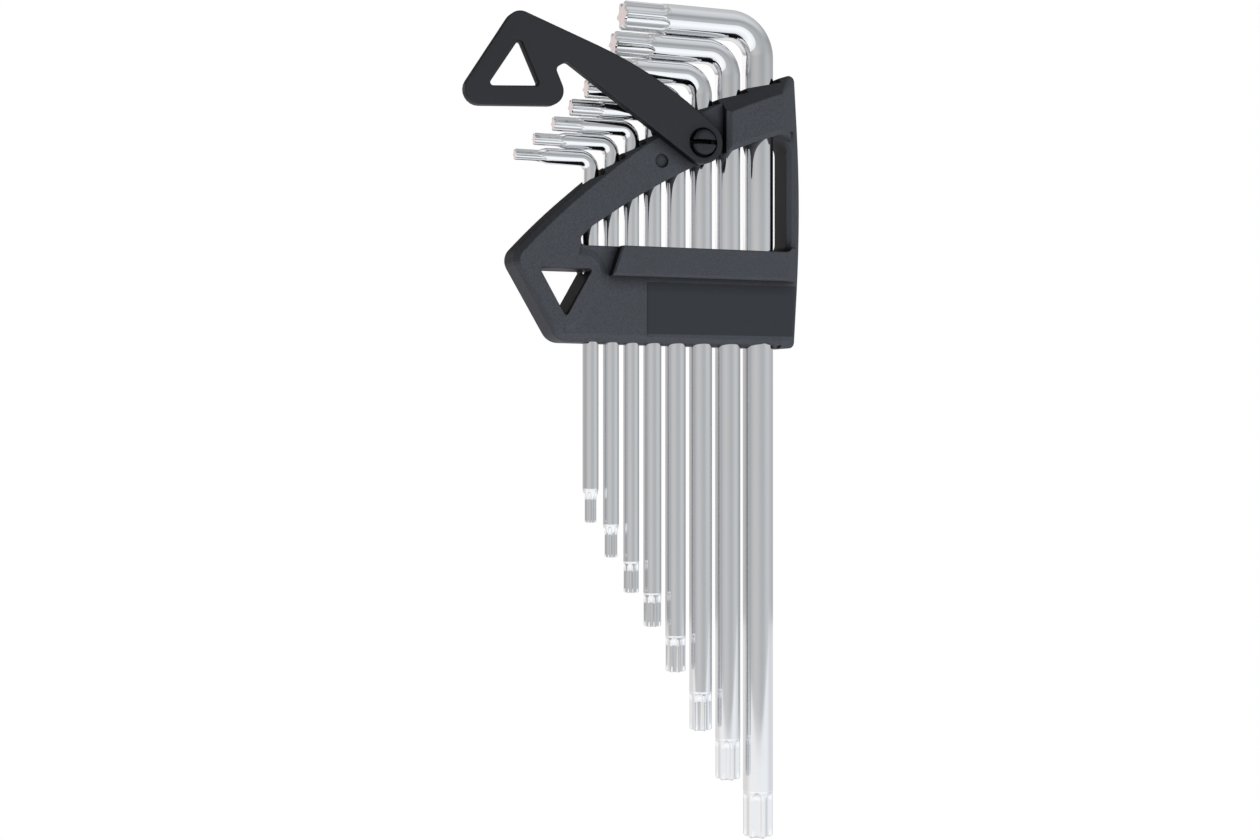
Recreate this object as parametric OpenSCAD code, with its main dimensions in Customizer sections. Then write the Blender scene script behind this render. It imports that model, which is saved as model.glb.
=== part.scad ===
// Set of eight six-lobe L-keys in a flat holder with a swinging hang lever.
// The origin is the middle of the three-cornered eye at the left of the holder.
// X runs along the holder, Z up the shafts, and the front faces -Y. Sizes in millimetres.

/* [Key 1, the smallest] */
// Shaft diameter of key 1
shaft_1 = 3.45; // [3.2:0.05:3.8]
// Star size of key 1, over its lobes
star_1 = 2.5; // [2.3:0.05:3.1]
// Short arm of key 1, from the shaft axis to its end
reach_1 = 17.2; // [15:0.1:20]
// Long arm of key 1, from the short arm's axis to the tip
long_1 = 78.4; // [72:0.1:86]

/* [Key 2] */
// Shaft diameter of key 2
shaft_2 = 3.45; // [3.2:0.05:3.8]
// Star size of key 2, over its lobes
star_2 = 2.75; // [2.5:0.05:3.1]
// Short arm of key 2, from the shaft axis to its end
reach_2 = 17.6; // [15:0.1:20]
// Long arm of key 2, from the short arm's axis to the tip
long_2 = 89.5; // [84:0.1:96]

/* [Key 3] */
// Shaft diameter of key 3
shaft_3 = 3.45; // [3.4:0.05:3.8]
// Star size of key 3, over its lobes
star_3 = 3.3; // [3:0.05:3.3]
// Short arm of key 3, from the shaft axis to its end
reach_3 = 18; // [16:0.1:21]
// Long arm of key 3, from the short arm's axis to the tip
long_3 = 100.8; // [95:0.1:107]

/* [Key 4] */
// Shaft diameter of key 4
shaft_4 = 3.95; // [3.95:0.05:4.3]
// Star size of key 4, over its lobes
star_4 = 3.85; // [3.5:0.05:3.85]
// Short arm of key 4, from the shaft axis to its end
reach_4 = 19; // [17:0.1:22]
// Long arm of key 4, from the short arm's axis to the tip
long_4 = 112.1; // [106:0.1:119]

/* [Key 5] */
// Shaft diameter of key 5
shaft_5 = 4.5; // [4.5:0.05:4.9]
// Star size of key 5, over its lobes
star_5 = 4.4; // [4:0.05:4.4]
// Short arm of key 5, from the shaft axis to its end
reach_5 = 21; // [19:0.1:24]
// Long arm of key 5, from the short arm's axis to the tip
long_5 = 126.5; // [120:0.1:134]

/* [Key 6] */
// Shaft diameter of key 6
shaft_6 = 5.05; // [5.05:0.05:5.4]
// Star size of key 6, over its lobes
star_6 = 4.95; // [4.5:0.05:4.95]
// Short arm of key 6, from the shaft axis to its end
reach_6 = 24.1; // [22:0.1:27]
// Long arm of key 6, from the short arm's axis to the tip
long_6 = 144.5; // [138:0.1:152]

/* [Key 7] */
// Shaft diameter of key 7
shaft_7 = 5.6; // [5.6:0.05:6]
// Star size of key 7, over its lobes
star_7 = 5.5; // [5:0.05:5.5]
// Short arm of key 7, from the shaft axis to its end
reach_7 = 27.4; // [26:0.1:31]
// Long arm of key 7, from the short arm's axis to the tip
long_7 = 161.2; // [155:0.1:169]

/* [Key 8, the largest] */
// Shaft diameter of key 8
shaft_8 = 6.75; // [6.75:0.05:7]
// Star size of key 8, over its lobes
star_8 = 6.65; // [6:0.05:6.65]
// Short arm of key 8, from the shaft axis to its end
reach_8 = 32.75; // [30:0.05:37]
// Long arm of key 8, from the short arm's axis to the tip
long_8 = 180.8; // [174:0.1:190]

/* [Shape of the keys] */
// Size over the flutes, as a share of the star size
core_share = 0.72; // [0.7:0.005:0.76]
// Radius of a flute, as a share of the star size
flute_share = 0.2115; // [0.2:0.0005:0.22]
// Part of the flutes' length that every key has
star_length = 2.9; // [2:0.1:4]
// Flute length added for each millimetre of shaft diameter
star_growth = 1.1; // [0.9:0.05:1.3]
// Length of the taper from star to shaft, for each millimetre of step in radius
taper_run = 5.2; // [3:0.1:6]
// Bevel round the end faces, as a share of the star size
end_bevel_share = 0.06; // [0.04:0.005:0.09]
// Inside radius of the bend of the smallest shaft
bend_inside = 0.8; // [0.5:0.05:1.2]
// Inside bend radius added for each millimetre of shaft diameter above the smallest
bend_growth = 0.84; // [0.6:0.02:1]

/* [Fits] */
// Radial play of a shaft in its bore
bore_play = 0.05; // [0.02:0.01:0.1]
// Wall between neighbouring bores, measured between the bare shafts
bore_web = 1.27; // [1.1:0.01:1.6]
// Gap between neighbouring short arms
arm_gap = 0.05; // [0.05:0.01:0.2]
// Gap between the lever and the face behind it
lever_play = 0.15; // [0.08:0.01:0.4]
// Radial play of the lever on its post
post_play = 0.05; // [0.02:0.01:0.1]
// Gap between the snap head and the floor it holds down
head_play = 0.12; // [0.05:0.01:0.3]

/* [Place of the keys] */
// From the middle of the eye to the axis of key 1
eye_to_key = 7.08; // [6.9:0.01:8.5]
// Height of the lowest short arm above the middle of the eye
arm_height = 27.5; // [26:0.05:30]

/* [Holder outline] */
// Thickness behind the key axes
back_depth = 4.3; // [4:0.05:5.5]
// Depth of the lever's face in front of the key axes
face_depth = 4.3; // [4.05:0.05:5]
// Depth of the raised block in front of the key axes
block_depth = 7.2; // [6.8:0.05:8.5]
// Depth of the rib in front of the key axes
rib_depth = 6.5; // [5.5:0.05:6.8]
// Depth at which the front bevels start
bevel_start = 2.9; // [2.5:0.05:3.2]
// Left tip, to the left of the eye's middle
tip_reach = 12.07; // [11:0.01:13]
// Left tip, above the eye's middle
tip_rise = 5.65; // [5.5:0.05:7]
// Rounding of the left tip
tip_round = 3.4; // [2:0.1:4]
// Lower left corner, to the left of the eye's middle
base_left = 1.56; // [0.5:0.01:3]
// Lower left corner, below the eye's middle
base_drop = 12.17; // [11.5:0.01:13.5]
// Further fall of the base line to its right end
base_fall = 0.65; // [0:0.05:1.5]
// Lower right corner, beyond the last key's axis
base_right = 7.48; // [6.3:0.01:8]
// Upper right corner, beyond the last key's axis
top_right = 7.5; // [6.6:0.05:8.5]
// Upper right corner, below the last short arm's axis
top_drop = 10.3; // [9:0.01:12]
// Upper bar's shoulder, to the left of the first key's axis
shoulder_left = 1.68; // [1:0.01:2.5]
// Upper bar's shoulder, below the first short arm's axis
shoulder_drop = 5.46; // [5.4:0.01:6.5]
// Bulge of the top line's corner over its chord
top_bow = 4.85; // [4:0.05:6]
// Bulge of the left wall's corner over its chord
left_bow = 0.58; // [0.2:0.02:1]
// Bulge of the right wall's corner over its chord
side_bow = 1.83; // [1:0.01:2.5]
// Rounding of the lower left corner
base_round = 4; // [2:0.1:4]
// Rounding of the right corners
right_round = 1.4; // [1:0.1:2]
// Depth of the steps in the top edge, one at each key
tread_dip = 1.1; // [0.3:0.05:1.3]
// Clear space from a shaft to the step on its right
tread_gap = 0.3; // [0.2:0.05:0.5]
// Bevel in the plane of the holder at the left edges, at the block's depth
left_bevel = 2.6; // [1.5:0.1:3]
// The same at the top edge
top_bevel = 3.6; // [2.5:0.1:4]
// The same at the right edge
right_bevel = 5.2; // [4:0.1:6]
// The same at the base
base_bevel = 7.6; // [6:0.1:8]
// Slope of the underside round the keys, towards the front
exit_slope = 0.29; // [0.1:0.01:0.5]
// Where that slope starts, in front of the keys' axes
exit_start = 0.8; // [0:0.1:2]
// How far it reaches past the outer keys
exit_side = 0.7; // [0.3:0.05:1.5]
// Bevel round the back face
back_bevel = 0.6; // [0.3:0.05:0.9]

/* [Window and bars] */
// Lower edge of the window above the eye's middle
sill_height = 8.4; // [8.2:0.05:9.5]
// Sharp left corner of the window, to the right of the eye's middle
window_left = 1.5; // [1.2:0.05:2]
// Window's right wall, beyond the last key's axis
window_right = 5.53; // [4.8:0.05:5.9]
// How much further out that wall stands at the back
window_splay = 0.85; // [0.2:0.05:1.2]
// Height of the upper bar at its left
bar_left_height = 9.65; // [8.5:0.05:10]
// Height of the upper bar at its right
bar_right_height = 13.25; // [12:0.05:14]
// Bulge of the window's upper edge over its chord
under_bow = 3.4; // [2.5:0.1:4]
// Left wall of the raised block, beyond the lever's pivot
block_left = 5.7; // [5.3:0.05:6.5]
// Rib's height down the lower bar
rib_height = 6.4; // [5.5:0.1:7]
// Rib's upper left end, to the right of the eye's middle
rib_left = 12; // [11.5:0.1:14]
// Slope of the rib's left end, out of square
rib_slant = 19; // [12:1:24]

/* [Panel, eye and dimple] */
// Step down from the eye's pad to the panel
panel_step = 0.4; // [0.2:0.05:0.45]
// Rounding of the window's inner edge at the right post
post_edge = 0.9; // [0.3:0.05:1.2]
// Bevel along the edges of the block and the rib
level_bevel = 1; // [0.3:0.05:1.2]
// Width of the slope from the pad down to the panel
pad_slope = 1.4; // [0.4:0.1:2]
// Rim of the pad round the eye, to the middle of that slope
pad_rim = 3.6; // [3:0.1:3.8]
// Depth of the plain label field below the panel
field_step = 0.15; // [0.05:0.05:0.2]
// Gap between the rib and the label field
field_gap = 1; // [0.5:0.1:2]
// Left edge of the label field, to the right of the eye's middle
field_left = 18.6; // [16:0.1:24]
// Side of the three-cornered eye
eye_side = 11.5; // [10:0.1:11.5]
// Rounding of the eye's corners
eye_round = 0.3; // [0.2:0.05:1]
// Rounding of the corners of the lever's hole
hole_round = 0.6; // [0.2:0.05:1]
// Flare of the eye at the front
eye_flare = 0.25; // [0.1:0.05:0.45]
// Radius of the round dimple
dimple_r = 1.5; // [1:0.05:2]
// Depth of the round dimple
dimple_deep = 0.6; // [0.2:0.05:0.9]
// Distance of the dimple from the pivot
dimple_far = 9.7; // [8:0.1:12]

/* [Lever] */
// Thickness of the lever
lever_t = 2.2; // [1.8:0.05:2.4]
// Angle by which the lever stands open as drawn
lever_open = 62; // [40:1:62]
// Pivot, to the right of the middle between keys 5 and 6
pivot_shift = 0.72; // [0:0.02:1.2]
// Pivot, below the chord of the top line
pivot_drop = 4.36; // [4:0.01:5]
// Radius of the round end at the pivot
eye_end_r = 4.55; // [4.3:0.05:4.9]
// Radius of the snap post
post_r = 2.3; // [2:0.05:2.4]
// Radius of the snap head
head_r = 2.7; // [2.6:0.05:3]
// Radius of the round pocket round the head
pocket_r = 3.25; // [3.1:0.05:3.6]
// Depth of that pocket
pocket_deep = 1.2; // [0.8:0.05:1.4]
// How far the head stands out of the lever
head_out = 1.4; // [0.8:0.05:1.6]
// Width of the slot that splits the post
slot_w = 1.05; // [0.8:0.05:1.3]
// Rounding of the long bend in the lever's back
bend_round = 90; // [30:1:92]
// Lever's bend on its upper side, to the left of the pivot when shut
back_bend_left = 16.9; // [14:0.1:20]
// The same bend, below the pivot when shut
back_bend_drop = 2.1; // [1.5:0.05:5.6]
// Finger tab, below the holder's base when shut
tab_drop = 4.25; // [3:0.05:6]
// Finger tab, to the right of the holder's lower left corner
tab_right = 1.67; // [0.5:0.01:2.5]
// Corner of the lobe, to the left of the rib's upper end when shut
lobe_gap = 0.95; // [0.9:0.05:2]
// Corner of the lobe, below the window's edge when shut
lobe_drop = 1.2; // [1:0.05:2]
// Rise of the lobe's upper edge towards the notch
lobe_rise = 0.65; // [0.5:0.05:1.5]
// Root of the notch, to the right of the window's sharp corner when shut
notch_right = 1.2; // [0.8:0.05:2]
// Width of the notch
notch_w = 3.2; // [2.4:0.05:4]
// Rounding in the notch
notch_round = 1; // [0.6:0.05:1.2]
// Rounding of the lobe
lobe_round = 3.15; // [2:0.05:3.5]
// Rounding of the two outer corners
loop_round = 3.2; // [2.5:0.1:4]

/* [Hidden] */
$fn = 48;
shafts = [shaft_1, shaft_2, shaft_3, shaft_4, shaft_5, shaft_6, shaft_7, shaft_8];
stars = [star_1, star_2, star_3, star_4, star_5, star_6, star_7, star_8];
reaches = [reach_1, reach_2, reach_3, reach_4, reach_5, reach_6, reach_7, reach_8];
longs = [long_1, long_2, long_3, long_4, long_5, long_6, long_7, long_8];
last = len(shafts) - 1;
charcoal = "#4a4d53";
black_plastic = "#36373b";
chrome = "#c9ccd0";
margin = 1;
steps = 8;
long_steps = 24;

// Sum of the half widths from the first key to key i, with a gap between each two
function stacked(i, gap) = i == 0 ? 0 : stacked(i - 1, gap) + (shafts[i - 1] + shafts[i]) / 2 + gap;
function key_x(i) = eye_to_key + stacked(i, bore_web);
function arm_z(i) = arm_height + stacked(i, arm_gap);
function bend_r(d) = d / 2 + bend_inside + bend_growth * (d - shaft_1);
function flute_length(d) = star_length + star_growth * d;

function unit(v) = v / norm(v);
function left_of(v) = [-v[1], v[0]];
function around(angle) = [cos(angle), sin(angle)];
// Point where the line through p along u meets the line through q along v
function meet(p, u, q, v) = p + u * cross(q - p, v) / cross(u, v);
// Corner over the middle of the chord from p to q, on its left side
function bowed(p, q, rise) = (p + q) / 2 + left_of(unit(q - p)) * rise;
// Radius of the arc in that corner that takes up a share of its two legs
function bow_round(p, q, rise, share) = norm([norm(q - p) / 2, rise]) * norm(q - p) / 2 / rise * share;
// Arc with radius r in the corner at b, from the side of a to the side of c
function corner_arc(a, b, c, r, count) =
    let (u = unit(a - b), v = unit(c - b), half = acos(u * v) / 2)
    let (centre = b + unit(u + v) * r / sin(half), first = b + u * r / tan(half) - centre)
    let (start = atan2(first[1], first[0]), turn = (180 - 2 * half) * (cross(u, v) < 0 ? 1 : -1))
    [for (k = [0 : count]) centre + r * around(start + turn * k / count)];
// Closed outline with each corner rounded by its own radius
function rounded(p, r, counts) =
    [for (i = [0 : len(p) - 1])
        each corner_arc(p[(i + len(p) - 1) % len(p)], p[i], p[(i + 1) % len(p)], r[i], counts[i])];
// Corners of an anticlockwise outline whose edges move in by their own distances
function inset(p, by) =
    [for (i = [0 : len(p) - 1])
        let (n = len(p), before = by[(i + n - 1) % n], b = p[i])
        let (u = unit(b - p[(i + n - 1) % n]), v = unit(p[(i + 1) % n] - b))
        meet(b + left_of(u) * before, u, b + left_of(v) * by[i], v)];
// Radii for those corners: smaller where a corner stands out, larger where it stands in
function inset_round(p, r, by) =
    [for (i = [0 : len(p) - 1])
        let (n = len(p), b = p[i], mean = (by[i] + by[(i + n - 1) % n]) / 2)
        let (out = cross(b - p[(i + n - 1) % n], p[(i + 1) % n] - b) > 0)
        max(0.25, r[i] + (out ? -mean : mean))];
function moved_ring(y, p, r, counts, by) = [y, rounded(inset(p, by), inset_round(p, r, by), counts)];
// Point where a line from p touches the circle with radius r round c
function touch_point(p, c, r, side) =
    let (a = acos(r / norm(p - c)), u = unit(p - c))
    c + r * (u * cos(a) + left_of(u) * sin(a) * side);
// Three-cornered outline that stands on its point, grown by a rim
function triangle(side, rim) = [for (a = [150, 270, 390]) (side / sqrt(3) + 2 * rim) * around(a)];

// Corners of the holder, anticlockwise from its left tip
tip = [-tip_reach, tip_rise];
base_a = [-base_left, -base_drop];
base_b = [key_x(last) + base_right, -base_drop - base_fall];
top_b = [key_x(last) + top_right, arm_z(last) - top_drop];
shoulder = [key_x(0) - shoulder_left, arm_z(0) - shoulder_drop];
body = [tip, base_a, base_b, bowed(top_b, base_b, side_bow), top_b,
        bowed(shoulder, top_b, top_bow), shoulder, bowed(tip, shoulder, left_bow)];
left_round = bow_round(tip, shoulder, left_bow, 0.6);
side_round = bow_round(top_b, base_b, side_bow, 0.6);
top_round = bow_round(shoulder, top_b, top_bow, 0.74);
body_round = [tip_round, base_round, right_round, side_round, right_round, top_round, 20, left_round];
body_counts = [steps, steps, steps, steps, steps, long_steps, 3, steps];
body_bevel = [left_bevel, base_bevel, right_bevel, right_bevel, top_bevel, top_bevel, top_bevel, top_bevel];
top_line = concat(corner_arc(top_b, body[5], shoulder, top_round, long_steps), [shoulder, top_b]);
function top_z(x) = lookup(x, top_line);
function riser_x(i) = key_x(i) + shafts[i] / 2 + tread_gap;
low = base_b[1] - margin;
high = top_b[1] + margin;
far = base_b[0] + side_bow + margin;

// Corners of the window, anticlockwise from its sharp left end
window_a = [window_left, sill_height];
window_b = [key_x(last) + window_right, sill_height];
window_c = [window_b[0], top_b[1] - bar_right_height];
window_d = [shoulder[0] + 0.3, shoulder[1] - bar_left_height];
window = [window_a, window_b, window_c, bowed(window_d, window_c, under_bow), window_d];
window_round = [1.2, 2.2, 3, bow_round(window_d, window_c, under_bow, 0.78), 6];
window_counts = [steps, steps, steps, long_steps, 3];

pivot_x = (key_x(4) + key_x(5)) / 2 + pivot_shift;
bar_slope = (top_b[1] - shoulder[1]) / (top_b[0] - shoulder[0]);
pivot = [pivot_x, shoulder[1] + (pivot_x - shoulder[0]) * bar_slope - pivot_drop];
block_x = pivot[0] + block_left;
rib_low = sill_height - rib_height;
panel_depth = face_depth - panel_step;
lever_back = face_depth + lever_play;
lever_front = lever_back + lever_t;
head_low = lever_front - pocket_deep + head_play;
head_high = lever_front + head_out;

// Corners of the shut lever, anticlockwise from its tip to the bend in its back
tab = [base_a[0] + tab_right, base_a[1] - tab_drop];
lobe = [rib_left - lobe_gap, sill_height - lobe_drop];
notch_low = [window_left + notch_right, lobe[1] + lobe_rise];
notch_high = notch_low + [-0.15, notch_w];
back_bend = pivot - [back_bend_left, back_bend_drop];
low_touch = touch_point(notch_high, pivot, eye_end_r, 1);
high_touch = touch_point(back_bend, pivot, eye_end_r, -1);
lever_corners = [tip, tab, lobe, notch_low, notch_high, low_touch, high_touch, back_bend];
lever_round = [loop_round, loop_round, lobe_round, notch_round, notch_round, 0, 0, bend_round];
eye_front = triangle(eye_side + 2 * sqrt(3) * eye_flare, 0);
hole = [eye_front[0] + [-0.2, 0.3], eye_front[1] - [0.1, 0.7], eye_front[2] - [1.3, 0.4]];
pad = triangle(eye_side, pad_rim);

// Prism between two depths, from an outline in the plane of the holder
module prism(outline, from_y, to_y) {
    translate([0, to_y, 0]) rotate([90, 0, 0]) linear_extrude(to_y - from_y) polygon(outline);
}
// Closed skin through rings of equal length from back to front, each a depth and an outline.
// From its first point each outline has all its other points in sight.
module skinned(rings) {
    n = len(rings[0][1]);
    top = len(rings) - 1;
    points = [for (ring = rings) each [for (p = ring[1]) [p[0], ring[0], p[1]]]];
    sides = [for (k = [0 : top - 1]) for (i = [0 : n - 1])
        let (j = (i + 1) % n) each [[k * n + i, (k + 1) * n + i, (k + 1) * n + j],
                                    [k * n + i, (k + 1) * n + j, k * n + j]]];
    caps = [[for (i = [0 : n - 1]) i], [for (i = [0 : n - 1]) top * n + (n - i) % n]];
    polyhedron(points, concat(sides, caps));
}
// Rod along Y between two depths
module rod(at, r, from_y, to_y) {
    translate([at[0], to_y, at[1]]) rotate([90, 0, 0]) cylinder(r = r, h = to_y - from_y);
}

// Outer shape of the holder, bevelled all round at the back and the front
module holder_shape() {
    none = [for (b = body_bevel) 0];
    skinned([moved_ring(back_depth, body, body_round, body_counts, [for (b = body_bevel) back_bevel]),
             moved_ring(back_depth - back_bevel, body, body_round, body_counts, none),
             moved_ring(-bevel_start, body, body_round, body_counts, none),
             moved_ring(-block_depth, body, body_round, body_counts, body_bevel)]);
}
function pad_ring(y, by) = moved_ring(y, pad, [4.5, 4.5, 4.5], [steps, steps, steps], [by, by, by]);
// Everything that may stand in front of the panel: face, pad, block and rib
module holder_levels() {
    difference() {
        prism([[tip[0] - margin, low], [far, low], [far, high], [tip[0] - margin, high]],
              -face_depth, back_depth + margin);
        difference() {
            prism([[-base_left, low - margin], [far + margin, low - margin],
                   [far + margin, window_c[1] + margin], [window_c[0], window_c[1] + margin],
                   [window_c[0], sill_height + margin], [window_left + 2 * margin, sill_height + margin]],
                  -block_depth, -panel_depth);
            skinned([pad_ring(-panel_depth + margin, -pad_slope / 2), pad_ring(-panel_depth, -pad_slope / 2),
                     pad_ring(-face_depth, pad_slope / 2), pad_ring(-block_depth - margin, pad_slope / 2)]);
        }
        prism([[field_left, low - margin], [far + margin, low - margin],
               [far + margin, rib_low - field_gap], [field_left, rib_low - field_gap]],
              -block_depth, -panel_depth + field_step);
    }
    block = [window_c, [far, window_c[1]], [far, high], [block_x, high],
             [block_x, window_d[1]], [window_c[0], window_d[1]]];
    block_edge = [level_bevel, 0, 0, level_bevel, 0, 0];
    skinned([[-panel_depth + 0.3, block], [level_bevel - block_depth, block],
             [-block_depth, inset(block, block_edge)]]);
    rib = [[rib_left - rib_height * tan(rib_slant), rib_low], [far, rib_low],
           [far, sill_height + margin], [rib_left + margin * tan(rib_slant), sill_height + margin]];
    rib_edge = [0.5 * level_bevel, 0, 0, 0.4 * level_bevel];
    skinned([[-panel_depth + 0.3, rib], [0.5 * level_bevel - rib_depth, rib],
             [-rib_depth, inset(rib, rib_edge)]]);
}
// Split post with a head, moulded onto the holder for the lever to snap over
module snap_post() {
    edge = 0.6;
    translate([pivot[0], 0, pivot[1]]) rotate([90, 0, 0]) difference() {
        rotate_extrude() polygon([[0, face_depth - 0.5], [post_r, face_depth - 0.5], [post_r, head_low],
                                  [head_r, head_low + 0.1], [head_r, head_high - edge],
                                  [head_r - edge, head_high], [0, head_high]]);
        translate([-head_r - margin, -slot_w / 2, face_depth + 0.2])
            cube([2 * (head_r + margin), slot_w, head_high]);
    }
}
// Wedge that is cut from the underside round the keys, as deep as the block
module underside_cut() {
    fall = atan(base_fall / (base_b[0] - base_a[0]));
    from_x = key_x(0) - shafts[0] / 2 - exit_side;
    to_x = key_x(last) + shafts[last] / 2 + exit_side;
    deep = block_depth + margin;
    translate([from_x, 0, base_a[1] - (from_x - base_a[0]) * tan(fall)]) rotate([0, fall, 0])
        rotate([90, 0, 90]) linear_extrude((to_x - from_x) / cos(fall))
            polygon([[-exit_start, 0], [-deep, exit_slope * (deep - exit_start)], [-deep, -margin],
                     [-exit_start, -margin]]);
}
module window_cut() {
    still = [0, 0, 0, 0, 0];
    splayed = [0, -window_splay, 0, 0, 0];
    post = [0, -post_edge, 0, 0, 0];
    front = [0, -post_edge, -level_bevel, -level_bevel, 0];
    skinned([moved_ring(back_depth + margin, window, window_round, window_counts, splayed),
             moved_ring(post_edge - panel_depth, window, window_round, window_counts, still),
             moved_ring(-panel_depth, window, window_round, window_counts, post),
             moved_ring(level_bevel - block_depth, window, window_round, window_counts, post),
             moved_ring(-block_depth - 0.01, window, window_round, window_counts, front)]);
}
// Three-cornered hole that flares at the front
module flared_hole(corners, corner_r, from_y, to_y) {
    r = [corner_r, corner_r, corner_r];
    counts = [steps, steps, steps];
    small = [eye_flare, eye_flare, eye_flare];
    skinned([moved_ring(to_y, corners, r + small, counts, small),
             moved_ring(from_y + 0.6, corners, r + small, counts, small),
             [from_y - 0.01, rounded(corners, r + small, counts)]]);
}

module holder() {
    color(charcoal) difference() {
        union() {
            intersection() {
                holder_shape();
                holder_levels();
            }
            snap_post();
        }
        window_cut();
        underside_cut();
        flared_hole(eye_front, eye_round, -face_depth, back_depth + margin);
        for (i = [0 : last]) {
            from_x = i == 0 ? key_x(0) - shafts[0] / 2 - margin : riser_x(i - 1) + 0.3;
            prism([[from_x, top_z(from_x)], [riser_x(i), top_z(riser_x(i)) - tread_dip],
                   [riser_x(i) + 0.3, high + top_bow], [from_x, high + top_bow]],
                  -block_depth - margin, back_depth + margin);
        }
        rod(pivot + dimple_far * around(205), dimple_r, -face_depth - margin, -face_depth + dimple_deep);
        for (i = [0 : last])
            translate([key_x(i), 0, low]) cylinder(r = shafts[i] / 2 + bore_play, h = high - low + top_bow);
    }
}

// Outline of the shut lever, with a round end about the pivot
function lever_outline() =
    let (c = lever_corners, r = lever_round, low = low_touch - pivot, high = high_touch - pivot)
    let (a = atan2(low[1], low[0]), b = atan2(high[1], high[0]))
    concat([for (i = [0 : 4]) each corner_arc(c[(i + 7) % 8], c[i], c[i + 1], r[i], steps)],
           [for (k = [0 : long_steps]) pivot + eye_end_r * around(a + (b - a) * k / long_steps)],
           corner_arc(c[6], c[7], c[0], r[7], steps));
module lever() {
    color(black_plastic)
        translate([pivot[0], 0, pivot[1]]) rotate([0, lever_open, 0]) translate([-pivot[0], 0, -pivot[1]])
            difference() {
                prism(lever_outline(), -lever_front, -lever_back);
                flared_hole(hole, hole_round, -lever_front, -lever_back + margin);
                rod(pivot, post_r + post_play, -lever_front - margin, -lever_back + margin);
                rod(pivot, pocket_r, -lever_front - margin, -lever_front + pocket_deep);
            }
}

// Outline of the star: six round lobes with the six flutes tangent between them
function star_outline(a) =
    let (flute = flute_share * a, b = core_share * a / 2 + flute, h = a / 2, c = b * cos(30))
    let (tip_r = (h * h + b * b - 2 * h * c - flute * flute) / (2 * (flute + h - c)))
    let (spread = atan2(b * sin(30), c - h + tip_r), half = spread - 30)
    [for (k = [0 : 5]) each concat(
        [for (j = [-2 : 2]) (h - tip_r) * around(60 * k + 30) + tip_r * around(60 * k + 30 + spread * j / 2)],
        [for (j = [-2 : 2]) b * around(60 * k + 60) + flute * around(60 * k + 240 - half * j / 3)])];
// End of a key that stands on its tip: star, taper and the run-out of its six flutes
module star_end(d, a, top) {
    flutes = flute_length(d);
    edge = end_bevel_share * a;
    taper = (d - a) / 2 * taper_run;
    flute = flute_share * a;
    clear = 0.1;
    difference() {
        union() {
            intersection() {
                linear_extrude(flutes) polygon(star_outline(a));
                union() {
                    cylinder(r1 = a / 2 - edge, r2 = a / 2 + clear, h = edge + clear);
                    translate([0, 0, edge + clear]) cylinder(r = a / 2 + clear, h = flutes);
                }
            }
            translate([0, 0, flutes]) cylinder(r1 = a / 2 + (d - a) / 10, r2 = d / 2, h = taper);
            translate([0, 0, flutes + taper]) cylinder(d = d, h = top - flutes - taper);
        }
        for (k = [0 : 5])
            rotate([0, 0, 60 * k]) translate([core_share * a / 2 + flute, 0, flutes])
                sphere(0.98 * flute);
    }
}
// One key, with its short arm towards the left and its long arm down
module l_key(i) {
    d = shafts[i];
    bend = bend_r(d);
    color(chrome) translate([key_x(i), 0, arm_z(i)]) {
        translate([0, 0, -longs[i]]) star_end(d, stars[i], longs[i] - bend);
        translate([-reaches[i], 0, 0]) rotate([0, 90, 0]) star_end(d, stars[i], reaches[i] - bend);
        translate([-bend, 0, -bend]) rotate([90, 0, 0]) rotate_extrude(angle = 90)
            translate([bend, 0]) circle(d = d);
    }
}
module key_9() { l_key(0); }
module key_10() { l_key(1); }
module key_15() { l_key(2); }
module key_20() { l_key(3); }
module key_25() { l_key(4); }
module key_27() { l_key(5); }
module key_30() { l_key(6); }
module key_40() { l_key(7); }

holder();
lever();
key_9();
key_10();
key_15();
key_20();
key_25();
key_27();
key_30();
key_40();
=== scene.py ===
# Eight star keys in a flat holder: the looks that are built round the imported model.
import math
import bpy
import numpy as np
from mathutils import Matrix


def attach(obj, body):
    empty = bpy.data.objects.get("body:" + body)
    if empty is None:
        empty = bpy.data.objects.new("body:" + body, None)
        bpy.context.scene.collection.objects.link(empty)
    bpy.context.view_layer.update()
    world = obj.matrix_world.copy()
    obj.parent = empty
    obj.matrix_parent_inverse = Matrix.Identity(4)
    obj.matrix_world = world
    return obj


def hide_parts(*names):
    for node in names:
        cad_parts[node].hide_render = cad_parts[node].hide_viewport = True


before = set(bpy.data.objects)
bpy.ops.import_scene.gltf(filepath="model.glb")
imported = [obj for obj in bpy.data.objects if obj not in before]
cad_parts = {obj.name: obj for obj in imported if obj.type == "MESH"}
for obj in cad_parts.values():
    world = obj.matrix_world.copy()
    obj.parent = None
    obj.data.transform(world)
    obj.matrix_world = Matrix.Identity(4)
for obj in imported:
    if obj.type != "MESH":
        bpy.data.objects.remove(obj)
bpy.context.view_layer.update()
mm = 0.001
print("frame loaded:", len(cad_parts), "nodes")


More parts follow.
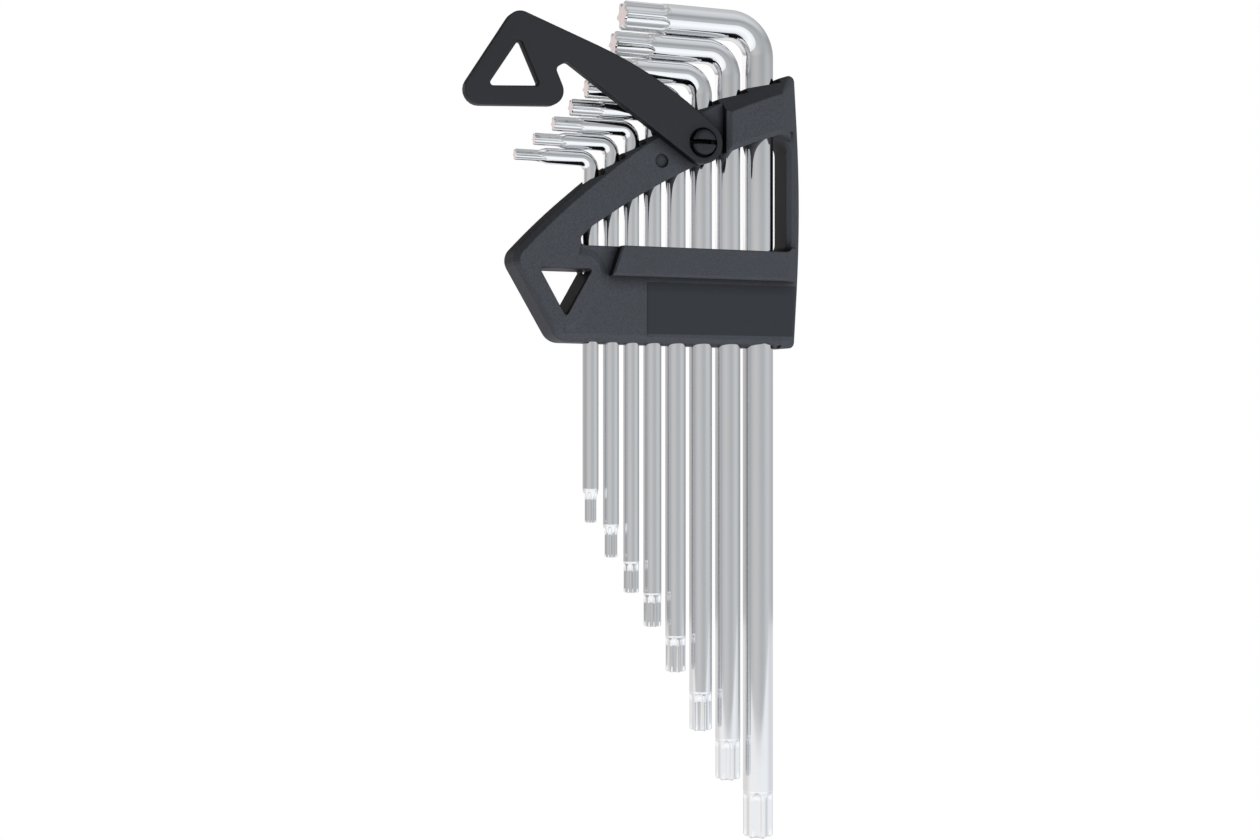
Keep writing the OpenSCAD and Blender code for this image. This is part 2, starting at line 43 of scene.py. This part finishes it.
# Shader kit
class Wire:
    # A shader socket that can stand in a sum; each sum adds its own Math node
    def __init__(self, tree, socket):
        self.tree = tree
        self.socket = socket

    def math(self, operation, first, second=None):
        node = self.tree.nodes.new("ShaderNodeMath")
        node.operation = operation
        for place, value in zip(node.inputs, (first, second)):
            plug(place, value)
        return Wire(self.tree, node.outputs[0])

    def __add__(self, other):
        return self.math("ADD", self, other)

    def __radd__(self, other):
        return self.math("ADD", other, self)

    def __sub__(self, other):
        return self.math("SUBTRACT", self, other)

    def __rsub__(self, other):
        return self.math("SUBTRACT", other, self)

    def __mul__(self, other):
        return self.math("MULTIPLY", self, other)

    def __rmul__(self, other):
        return self.math("MULTIPLY", other, self)

    def __truediv__(self, other):
        return self.math("DIVIDE", self, other)

    def __rtruediv__(self, other):
        return self.math("DIVIDE", other, self)

    def __pow__(self, other):
        return self.math("POWER", self, other)

    def __gt__(self, other):
        return self.math("GREATER_THAN", self, other)

    def __lt__(self, other):
        return self.math("LESS_THAN", self, other)

    def __abs__(self):
        return self.math("ABSOLUTE", self)

    def least(self, other):
        return self.math("MINIMUM", self, other)

    def most(self, other):
        return self.math("MAXIMUM", self, other)


def plug(place, value):
    # A wire is linked, anything else is set on the socket itself
    if value is None:
        return
    if isinstance(value, Wire):
        value.tree.links.new(value.socket, place)
    elif hasattr(place.default_value, "__len__") and len(value) == 3 and len(place.default_value) == 4:
        place.default_value = (*value, 1)
    else:
        place.default_value = value


def linear(hexColour):
    # Screen colour such as "#4a4d53" to the linear numbers that a shader takes
    parts = [int(hexColour[i:i + 2], 16) / 255 for i in (1, 3, 5)]
    return tuple(c / 12.92 if c <= 0.04045 else ((c + 0.055) / 1.055) ** 2.4 for c in parts)


class Finish:
    # One material or world, with a single method that makes any of its nodes
    def __init__(self, owner):
        self.owner = owner
        owner.use_nodes = True
        self.tree = owner.node_tree
        self.tree.nodes.clear()

    def node(self, kind, settings=None, values=None, out=0):
        node = self.tree.nodes.new("ShaderNode" + kind)
        for name, value in (settings or {}).items():
            if name == "stops":
                ramp = node.color_ramp
                while len(ramp.elements) < len(value):
                    ramp.elements.new(0.5)
                for element, (place, colour) in zip(ramp.elements, value):
                    element.position = place
                    element.color = (*colour, 1) if len(colour) == 3 else colour
            elif name == "blend":
                node.color_ramp.interpolation = value
            else:
                setattr(node, name, value)
        for name, value in (values or {}).items():
            plug(node.inputs[name], value)
        return Wire(self.tree, node.outputs[out])

    def point(self):
        return self.node("TexCoord", out="Object")

    def axes(self, vector):
        first = self.node("SeparateXYZ", values={0: vector})
        outs = first.socket.node.outputs
        return [Wire(self.tree, outs[i]) for i in range(3)]

    def blend(self, amount, first, second):
        return self.node("Mix", {"data_type": "RGBA"}, {"Factor": amount, 6: first, 7: second}, out=2)

    def noise(self, vector, scale, detail=2.0, rough=0.5, out="Fac"):
        return self.node("TexNoise", None, {"Vector": vector, "Scale": scale, "Detail": detail,
                                            "Roughness": rough}, out=out)

    def ramp(self, value, stops, blend="LINEAR"):
        return self.node("ValToRGB", {"blend": blend, "stops": stops}, {"Fac": value})

    def step(self, value, low, high, first=0.0, last=1.0):
        return self.node("MapRange", {"interpolation_type": "SMOOTHSTEP"},
                         {"Value": value, "From Min": low, "From Max": high, "To Min": first, "To Max": last})

    def corner(self, reach, power):
        # Mask for painted shade from ambient occlusion: 1 on open faces, towards 0 in corners and narrow gaps
        clear = self.node("AmbientOcclusion", {"samples": 8}, {"Distance": reach}, out="AO")
        return clear ** power

    def wall(self, least, most):
        # 1 on walls that stand square to the face, 0 on the face and its bevels; used as a mask for painted shade
        # on walls
        return self.step(abs(self.axes(self.node("NewGeometry", out="Normal"))[1]), most, least)

    def rays(self, name):
        return self.node("LightPath", out=name)

    def close(self, kind, values):
        shader = self.node(kind, None, values)
        end = self.tree.nodes.new("ShaderNodeOutput" + ("World" if kind == "Background" else "Material"))
        plug(end.inputs["Surface"], shader)
        return shader


def newFinish(name):
    return Finish(bpy.data.materials.new(name))


# Finishes
# crease is the near-black colour of painted shade; reach is the distance over which corners are found for it
holderLook = {
    "face": "#464950", "cloud": "#42454b", "light": "#52555b", "field": "#3a3d43", "head": "#35373c",
    "reach": 0.0035, "crease": "#0c0d0e", "paintedShadePower": 1.8, "paintedWallShade": 0.8, "rough": 0.52, "edge": 0.00045,
    "fieldLeft": 0.0186, "fieldTop": 0.0010, "fieldLow": -0.0102, "fieldBack": -0.0040,
    "pivot": (0.030727, 0.031387), "headRadius": 0.0029, "headBack": -0.0050,
    "cloudScale": 90.0, "grain": 5200.0, "grainDepth": 0.00003, "speckFrom": 0.35, "speckTo": 0.65, "gloss": 0.08,
}


def holderFinish(look):
    # Dark moulded plastic with a fine grain, a smoother darker field and a smooth darker snap head, with painted
    # shade: a near-black colour blended in at corners, narrow gaps and walls that don't face down
    f = newFinish("holderPlastic")
    point = f.point()
    x, y, z = f.axes(point)
    low = z > look["fieldLow"]
    inField = (x > look["fieldLeft"]) * (z < look["fieldTop"]) * low * (y > look["fieldBack"])
    across = x - look["pivot"][0]
    up = z - look["pivot"][1]
    inHead = (across * across + up * up < look["headRadius"] ** 2) * (y < look["headBack"])
    cloud = f.noise(point, look["cloudScale"], 3.0, 0.55)
    speck = f.noise(point, look["grain"], 2.0, 0.6)
    base = f.blend(cloud, linear(look["face"]), linear(look["cloud"]))
    base = f.blend(f.step(speck, look["speckFrom"], look["speckTo"]), base, linear(look["light"]))
    base = f.blend(inField, base, linear(look["field"]))
    base = f.blend(inHead, base, linear(look["head"]))
    smooth = inField.most(inHead)
    # Painted shade: ambient occlusion darkens corners and narrow gaps, and walls square to the face that don't
    # face downward are darkened too
    wall = f.wall(0.3, 0.75)
    facingUp = f.step(f.axes(f.node("NewGeometry", out="Normal"))[2], -0.35, 0.0)
    crease = f.corner(look["reach"], look["paintedShadePower"]) * (1 - wall * facingUp * look["paintedWallShade"])
    base = f.blend(crease, linear(look["crease"]), base)
    rough = look["rough"] + (cloud - 0.5) * 0.08 - smooth * 0.08
    soft = f.node("Bevel", {"samples": 6}, {"Radius": look["edge"]})
    grain = f.node("Bump", None, {"Strength": 0.35, "Distance": look["grainDepth"],
                                  "Height": speck * (1 - smooth * 0.8), "Normal": soft})
    f.close("BsdfPrincipled", {"Base Color": base, "Roughness": rough, "Normal": grain,
                               "Specular IOR Level": look["gloss"]})
    return f.owner


# crease is the near-black colour of painted shade; reach is the distance over which corners are found for it
leverLook = {
    "face": "#383a3e", "cloud": "#34363a", "reach": 0.0025, "crease": "#0c0d0e", "paintedShadePower": 1.4,
    "paintedWallShade": 0.8, "rough": 0.42, "edge": 0.0006, "cloudScale": 60.0, "grain": 5000.0, "waveDepth": 0.00002,
    "gloss": 0.08,
}


def leverFinish(look):
    # Smoother, darker moulded plastic with hardly any grain, and painted shade: a near-black colour blended in at
    # corners, narrow gaps and on all walls square to the face
    f = newFinish("leverPlastic")
    point = f.point()
    cloud = f.noise(point, look["cloudScale"], 3.0, 0.5)
    speck = f.noise(point, look["grain"], 2.0, 0.5)
    base = f.blend(cloud, linear(look["face"]), linear(look["cloud"]))
    # Painted shade in corners, narrow gaps and on walls square to the face
    crease = f.corner(look["reach"], look["paintedShadePower"]) * (1 - f.wall(0.2, 0.7) * look["paintedWallShade"])
    base = f.blend(crease, linear(look["crease"]), base)
    rough = look["rough"] + (cloud - 0.5) * 0.1 + (speck - 0.5) * 0.06
    soft = f.node("Bevel", {"samples": 6}, {"Radius": look["edge"]})
    grain = f.node("Bump", None, {"Strength": 0.3, "Distance": look["waveDepth"], "Height": speck,
                                  "Normal": soft})
    f.close("BsdfPrincipled", {"Base Color": base, "Roughness": rough, "Normal": grain,
                               "Specular IOR Level": look["gloss"]})
    return f.owner


chromeLook = {
    "plate": (0.800, 0.815, 0.836), "warm": (0.806, 0.810, 0.820), "rough": 0.07, "lineDepth": 0.000004,
    "lineLong": 3.0, "lineAcross": 60.0, "hazeScale": 220.0,
}


def chromeFinish(look):
    # Bright plating over drawn wire: faint lines along the shaft and slow waves in the gloss
    f = newFinish("chromePlate")
    flow = f.node("UVMap", {"uv_map": "flow"})
    along, around = f.axes(flow)[:2]
    drawn = {"X": along * look["lineLong"], "Y": around * look["lineAcross"], "Z": 0.0}
    drawn = f.node("CombineXYZ", None, drawn)
    lines = f.noise(drawn, 1.0, 3.0, 0.6)
    haze = f.noise(f.point(), look["hazeScale"], 3.0, 0.55)
    base = f.blend(haze, look["plate"], look["warm"])
    rough = look["rough"] + (haze - 0.5) * 0.05 + (lines - 0.5) * 0.04
    wave = f.node("Bump", None, {"Strength": 0.25, "Distance": look["lineDepth"], "Height": lines})
    f.close("BsdfPrincipled", {"Base Color": base, "Metallic": 1.0, "Roughness": rough, "Normal": wave})
    return f.owner


cutLook = {"steel": "#dccfce", "shade": "#cdc0c0", "rough": 0.25, "cloudScale": 900.0, "grain": 4000.0,
           "grainDepth": 0.00001}


def cutFinish(look):
    # Sawn and plated end faces: duller, slightly pink and a little uneven
    f = newFinish("cutEnd")
    point = f.point()
    cloud = f.noise(point, look["cloudScale"], 3.0, 0.6)
    base = f.blend(cloud, linear(look["steel"]), linear(look["shade"]))
    grain = f.noise(point, look["grain"], 2.0)
    bump = f.node("Bump", None, {"Strength": 0.4, "Distance": look["grainDepth"], "Height": grain})
    rough = look["rough"] + (cloud - 0.5) * 0.1
    f.close("BsdfPrincipled", {"Base Color": base, "Metallic": 0.85, "Roughness": rough, "Normal": bump})
    return f.owner


# Keys
keySet = {
    "names": ["key_9", "key_10", "key_15", "key_20", "key_25", "key_27", "key_30", "key_40"],
    "shaft": [3.45, 3.45, 3.45, 3.95, 4.5, 5.05, 5.6, 6.75],
    "star": [2.5, 2.75, 3.3, 3.85, 4.4, 4.95, 5.5, 6.65],
    "reach": [17.2, 17.6, 18.0, 19.0, 21.0, 24.1, 27.4, 32.75],
    "length": [78.4, 89.5, 100.8, 112.1, 126.5, 144.5, 161.2, 180.8],
    "firstAxis": 7.08, "web": 1.27, "firstArm": 27.5, "armGap": 0.05,
    "core": 0.72, "flute": 0.2115, "fluteStart": 2.9, "fluteGrowth": 1.1, "taperRun": 6.0, "fade": 2.1,
    "endBevel": 0.06, "bendInside": 0.8, "bendGrowth": 0.84, "around": 180, "none": 9.0, "leastTaper": 0.25,
    "taperAhead": 0.7, "roundSoon": 1.6, "crease": 32, "flowScale": 20,
}


def starRadius(angle, star, look, faded):
    # Radius of the star at each angle. Lobe: the ray meets a small circle that stands out at 30, 90, ...
    # degrees. Flute: the ray meets a hollow circle at 0, 60, ... degrees, which fades to nothing like half an
    # ellipse. Where a ray meets neither, the radius is the large number that stands for none.
    half = star / 2
    flute = look["flute"] * star
    hub = look["core"] * half + flute
    level = hub * math.cos(math.pi / 6)
    lobe = (half * half + hub * hub - 2 * half * level - flute * flute) / (2 * (flute + half - level))
    turn = angle % (math.pi / 3) - math.pi / 6
    away = np.abs(turn)
    root = lobe ** 2 - ((half - lobe) * np.sin(away)) ** 2
    outer = (half - lobe) * np.cos(away) + np.sqrt(np.maximum(root, 0))
    toHub = math.pi / 6 - away
    left = flute ** 2 * (1 - np.clip(faded, 0, 1.01) ** 2) - (hub * np.sin(toHub)) ** 2
    inner = np.where(left > 0, hub * np.cos(toHub) - np.sqrt(np.maximum(left, 0)), look["none"])
    spread = math.atan2(hub * 0.5, level - half + lobe)
    touch = math.atan2(lobe * math.sin(spread), half - lobe + lobe * math.cos(spread))
    return np.where(away < touch, outer, look["none"]), inner


def sectionRadius(angle, fromEnd, shaft, star, look):
    # Radius of the key at an angle and a distance from its nearer end: star, taper, then round shaft
    half = star / 2
    flutes = look["fluteStart"] + look["fluteGrowth"] * shaft
    faded = (fromEnd - flutes + look["fade"]) / look["fade"]
    lobe, hollow = starRadius(angle, star, look, faded)
    taper = max((shaft - star) / 2 * look["taperRun"], look["leastTaper"])
    share = np.clip((fromEnd - flutes + look["taperAhead"] * taper) / taper, 0, 1)
    body = half + (shaft / 2 - half) * share * share * (3 - 2 * share)
    mix = np.clip(faded * look["roundSoon"], 0, 1)
    rounded = np.where(lobe < look["none"], lobe * (1 - mix) + body * mix, body)
    radius = np.minimum(rounded, hollow)
    edge = look["endBevel"] * star
    return radius - np.clip(edge - fromEnd, 0, edge)


def stations(total, flutes, taper, bendFrom, bendTo, edge, fade):
    # Distances along the path, close together where the shape changes
    top = flutes + 0.4 * taper + 0.3
    fadeFrom = flutes - fade
    taperFrom = fadeFrom - 0.8 * taper
    end = np.concatenate([[0, edge * 0.5, edge], np.linspace(edge, taperFrom, 6)[1:],
                          np.linspace(taperFrom, fadeFrom, 8)[1:], np.linspace(fadeFrom, flutes, 26)[1:],
                          np.linspace(flutes, top, 8)[1:]])
    middle = np.linspace(end[-1], bendFrom, 12)[1:-1]
    bend = np.linspace(bendFrom, bendTo, 30)
    after = total - end[::-1]
    between = np.linspace(bendTo, after[0], 6)[1:-1]
    return np.concatenate([end, middle, bend, between, after])


def gridMesh(name, rows, uv, crease):
    # rows[i, j] is a closed ring i of points j; both ends are shut with a ring of triangles to a middle point
    count, around, _ = rows.shape
    verts = np.concatenate([rows.reshape(-1, 3), rows[:1].mean(axis=1), rows[-1:].mean(axis=1)])
    i = np.arange(count - 1)[:, None]
    j = np.arange(around)[None, :]
    k = (j + 1) % around
    quads = np.stack([i * around + j, i * around + k, (i + 1) * around + k, (i + 1) * around + j], -1)
    quads = quads.reshape(-1, 4)
    ring = np.arange(around)
    nextRing = (ring + 1) % around
    first = np.stack([nextRing, ring, np.full(around, count * around)], -1)
    base = (count - 1) * around
    last = np.stack([base + ring, base + nextRing, np.full(around, count * around + 1)], -1)
    mesh = bpy.data.meshes.new(name)
    mesh.from_pydata(verts.tolist(), [], quads.tolist() + first.tolist() + last.tolist())
    layer = mesh.uv_layers.new(name="flow")
    along = np.concatenate([np.repeat(uv, around), [uv[0], uv[-1]]])
    side = np.concatenate([np.tile(ring / around, count), [0.5, 0.5]])
    where = np.zeros(len(mesh.loops), dtype=np.int32)
    mesh.loops.foreach_get("vertex_index", where)
    layer.data.foreach_set("uv", np.stack([along[where], side[where]], -1).ravel())
    slots = np.zeros(len(mesh.polygons), dtype=np.int32)
    slots[len(quads):] = 1
    mesh.polygons.foreach_set("material_index", slots)
    mesh.polygons.foreach_set("use_smooth", np.ones(len(mesh.polygons), dtype=bool))
    mesh.set_sharp_from_angle(angle=math.radians(crease))
    mesh.update()
    return mesh


def spaced(first, gap, shaft):
    # Distances of all keys when neighbours stand a gap apart: half of each shaft and the gap, added up
    return first + np.concatenate([[0], np.cumsum((shaft[1:] + shaft[:-1]) / 2 + gap)])


def makeKey(place, look, plate, cut):
    # The section is carried up the long arm, round the bend and out along the short arm
    shaft = np.array(look["shaft"])
    axis = spaced(look["firstAxis"], look["web"], shaft)[place]
    arm = spaced(look["firstArm"], look["armGap"], shaft)[place]
    d, star = look["shaft"][place], look["star"][place]
    bend = d / 2 + look["bendInside"] + look["bendGrowth"] * (d - shaft[0])
    up = look["length"][place] - bend
    out = look["reach"][place] - bend
    turn = bend * math.pi / 2
    total = up + turn + out
    flutes = look["fluteStart"] + look["fluteGrowth"] * d
    taper = (d - star) / 2 * look["taperRun"]
    s = stations(total, flutes, taper, up, up + turn, look["endBevel"] * star, look["fade"])
    theta = np.arange(look["around"]) * 2 * math.pi / look["around"]
    radius = sectionRadius(theta[None, :], np.minimum(s, total - s)[:, None], d, star, look)
    angle = np.clip((s - up) / bend, 0, math.pi / 2)
    normal = np.stack([np.cos(angle), np.zeros_like(angle), np.sin(angle)], -1)
    centre = np.stack([axis - bend + bend * np.cos(angle) - np.maximum(s - up - turn, 0),
                       np.zeros_like(s), arm - bend + bend * np.sin(angle) - np.maximum(up - s, 0)], -1)
    rows = centre[:, None] + radius[..., None] * (np.cos(theta)[None, :, None] * normal[:, None]
                                                  + np.sin(theta)[None, :, None] * np.array([0, 1.0, 0]))
    name = look["names"][place]
    mesh = gridMesh(name + "_bright", rows * mm, s * mm * look["flowScale"], look["crease"])
    key = bpy.data.objects.new(name + "_bright", mesh)
    bpy.context.scene.collection.objects.link(key)
    key.data.materials.append(plate)
    key.data.materials.append(cut)
    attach(key, name)
    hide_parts(name)


plate = chromeFinish(chromeLook)
cut = cutFinish(cutLook)
for place in range(len(keySet["names"])):
    makeKey(place, keySet, plate, cut)
print("keys made")


# Holder and lever
def dress(node, material):
    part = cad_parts[node]
    part.data.materials.clear()
    part.data.materials.append(material)


dress("holder", holderFinish(holderLook))
dress("lever", leverFinish(leverLook))
print("holder and lever finished")

# Camera
cameraLook = {"place": (-0.1250, -0.3531, -0.0288), "yaw": 21.8, "lens": 50.0, "sensor": 36.0}
camera = bpy.data.objects.new("camera", bpy.data.cameras.new("camera"))
camera.data.lens = cameraLook["lens"]
camera.data.sensor_width = cameraLook["sensor"]
camera.data.clip_start = 0.01
camera.location = cameraLook["place"]
camera.rotation_euler = (math.radians(90), 0, math.radians(-cameraLook["yaw"]))
bpy.context.scene.collection.objects.link(camera)
bpy.context.scene.camera = camera

# Floor: white to the camera far out, a plain pale surface near the object. Metal mirrors the world instead.
floorLook = {"size": 6.0, "height": -0.165, "pale": (0.86, 0.86, 0.86), "near": 0.6, "from": 0.10, "to": 0.23,
             "middle": (-0.05, -0.04)}
half = floorLook["size"] / 2
mesh = bpy.data.meshes.new("floor")
corners = [(-half, -half), (half, -half), (half, half), (-half, half)]
mesh.from_pydata([(x, y, floorLook["height"]) for x, y in corners], [], [(0, 1, 2, 3)])
floor = bpy.data.objects.new("floor", mesh)
bpy.context.scene.collection.objects.link(floor)
f = newFinish("paleFloor")
x, y, z = f.axes(f.point())
x = x - floorLook["middle"][0]
y = y - floorLook["middle"][1]
far = f.step(x * x + y * y, floorLook["from"] ** 2, floorLook["to"] ** 2, floorLook["near"], 1.0)
pale = f.node("BsdfDiffuse", None, {"Color": floorLook["pale"]})
glow = f.node("Emission", None, {"Color": (1.0, 1.0, 1.0), "Strength": 1.0})
f.close("MixShader", {0: f.rays("Is Camera Ray") * far, 1: pale, 2: glow})
floor.data.materials.append(f.owner)
for ray in ("glossy", "diffuse", "shadow"):
    setattr(floor, "visible_" + ray, False)

# Light: soft lamps low in front and at the right, and a small one high at the right back for the floor
lamps = {
    "front": {"place": (0.10, -1.10, -0.40), "aim": (0.02, 0, 0.0), "size": (1.2, 0.8), "power": 9.5},
    "low": {"place": (-0.75, -0.60, -0.55), "aim": (0.0, 0, 0.0), "size": (0.7, 0.6), "power": 3.0},
    "right": {"place": (1.0, -0.60, -0.1), "aim": (0.02, 0, 0.0), "size": (0.6, 0.9), "power": 2.4},
    "above": {"place": (0.62, 0.50, 0.66), "aim": (0.03, 0, 0.0), "size": (0.08, 0.08), "power": 18.0},
}
for name, lamp in lamps.items():
    data = bpy.data.lights.new(name, "AREA")
    data.shape = "RECTANGLE"
    data.size, data.size_y = lamp["size"]
    data.energy = lamp["power"]
    light = bpy.data.objects.new(name, data)
    light.location = lamp["place"]
    away = np.array(lamp["place"]) - np.array(lamp["aim"])
    flat = math.hypot(away[0], away[1])
    light.rotation_euler = (math.atan2(flat, away[2]), 0, math.atan2(away[0], -away[1]))
    light.visible_glossy = False
    bpy.context.scene.collection.objects.link(light)

# The world is a pale tent: white to the camera. Metal mirrors its greyer sides and its white low part, whose
# upper edge dips in the middle. It is darker high up at the left back, and a bright card stands low there for
# the keys' end faces. Matt surfaces get more light from below.
worldLook = {
    "low": 0.20, "high": 0.02, "edge": -0.18, "dip": 0.066, "soft": 0.005, "dark": 0.92, "card": 0.125,
    "round": [(-180, 0.54), (-150, 0.56), (-120, 0.55), (-100, 0.48), (-80, 0.42), (-60, 0.50), (-40, 0.60),
              (-20, 0.64), (0, 0.60), (20, 0.53), (40, 0.53), (60, 0.64), (80, 0.66), (100, 0.59), (120, 0.54),
              (150, 0.52), (180, 0.54)],
    "height": [(-1, 0.85), (-0.9, 1.0), (-0.6, 1.2), (-0.4, 1.15), (-0.2, 1.03), (0.12, 1.0), (0.25, 0.80),
               (0.42, 0.72), (0.62, 1.15), (1, 1.3)],
    "cardGlow": 1.15,
}
world = bpy.data.worlds.new("studio")
bpy.context.scene.world = world
f = Finish(world)
x, y, z = f.axes(f.node("TexCoord", out="Generated"))
turn = math.radians(cameraLook["yaw"])
toward = x * -math.sin(turn) + y * -math.cos(turn)
aside = x * math.cos(turn) + y * -math.sin(turn)
azimuth = aside.math("ARCTAN2", aside, toward) / (2 * math.pi) + 0.5
circle = f.ramp(azimuth, [(a / 360 + 0.5, (v, v, v)) for a, v in worldLook["round"]])
upright = f.ramp(z * 0.5 + 0.5, [(h / 2 + 0.5, (v, v, v)) for h, v in worldLook["height"]])
rim = (1 - toward).least(1.0) * worldLook["dip"] + worldLook["edge"] - z
below = f.step(rim, -worldLook["soft"], worldLook["soft"])
side = f.step(toward, -0.2, 0.5, 0.8, 1.0)
corner = f.step(z, 0.15, 0.4) * f.step(-0.2 - toward, 0.0, 0.4) * f.step(0.1 - aside, 0.0, 0.4)
card = f.step(z, 0.04, 0.12) * f.step(0.34 - z, 0.0, 0.08)
card = card * f.step(abs(azimuth - worldLook["card"]), 0.12, 0.06)
mirror = upright * (below * side + (1 - below) * circle) * (1 - corner * worldLook["dark"])
mirror = mirror * (1 - card) + card * worldLook["cardGlow"]
fill = f.step(z, -0.5, 0.5, worldLook["low"], worldLook["high"])
white = f.rays("Is Camera Ray").most(f.rays("Is Transmission Ray"))
gloss = f.rays("Is Glossy Ray")
strength = white + (1 - white) * (gloss * mirror + (1 - gloss) * fill)
tint = f.ramp(azimuth, [(0, (1.03, 0.995, 0.99)), (0.3, (1.02, 0.995, 0.99)), (0.48, (0.99, 1.0, 1.01)),
                        (0.7, (0.975, 1.0, 1.02)), (0.93, (0.98, 1.0, 1.015)), (1, (1.03, 0.995, 0.99))])
f.close("Background", {"Color": f.blend(gloss, (1.0, 1.0, 1.0), tint), "Strength": strength})
bpy.context.scene.view_settings.view_transform = "Standard"
print("stage lit")
